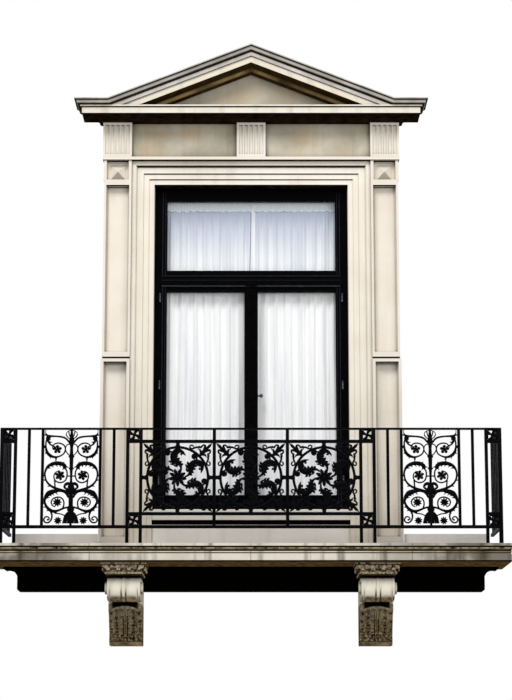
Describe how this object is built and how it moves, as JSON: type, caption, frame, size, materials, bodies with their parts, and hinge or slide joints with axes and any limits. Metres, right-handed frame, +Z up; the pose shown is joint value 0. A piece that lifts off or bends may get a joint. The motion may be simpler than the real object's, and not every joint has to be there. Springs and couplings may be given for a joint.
{
  "type": "juliet balcony",
  "caption": "Stone balcony slab on scrolled consoles with an ornamental iron railing, glazed double doors and a pedimented stone surround.",
  "frame": {"origin": "middle of the slab's flat back face, on the plane of the wall that holds it", "axes": "+Z up, -Y out of the wall towards the street, +X to the right as seen from the street"},
  "size_m": [4.05, 0.96, 4.9016],
  "materials": {
    "stone": "dressed limestone, weathered",
    "iron": "black paint",
    "joinery": "dark gloss paint",
    "glass": "clear",
    "net": "white net",
    "fittings": "worn",
    "rod": "dull"
  },
  "bodies": {
    "root": {"balcony_slab": "stone", "bed_moulding": "stone", "consoles": "stone", "console_caps": "stone", "wall_base": "stone", "door_apron": "stone", "door_sill": "stone", "pilaster_base_left": "stone", "pilaster_base_right": "stone", "pilaster_shaft_left": "stone", "pilaster_shaft_right": "stone", "pilaster_bosses": "stone", "fluted_blocks": "stone", "frieze": "stone", "architrave_left": "stone", "architrave_right": "stone", "architrave_head": "stone", "cornice": "stone", "raking_cornice_left": "stone", "raking_cornice_right": "stone", "tympanum": "stone", "handrail": "iron", "bottom_rail": "iron", "panel_rails": "iron", "railing_posts": "iron", "plain_bars": "iron", "scroll_panel_left": "iron", "scroll_panel_right": "iron", "ring_panel_centre": "iron", "ring_panel_left": "iron", "ring_panel_right": "iron", "square_castings": "iron", "side_railings": "iron", "window_frame": "joinery", "fanlight_sash": "joinery", "door_leaf_left": "joinery", "door_leaf_right": "joinery", "cover_strip": "joinery", "glass_panes": "glass", "curtain_left": "net", "curtain_right": "net", "door_fittings": "fittings", "curtain_rod": "rod"}
  },
  "joints": []
}
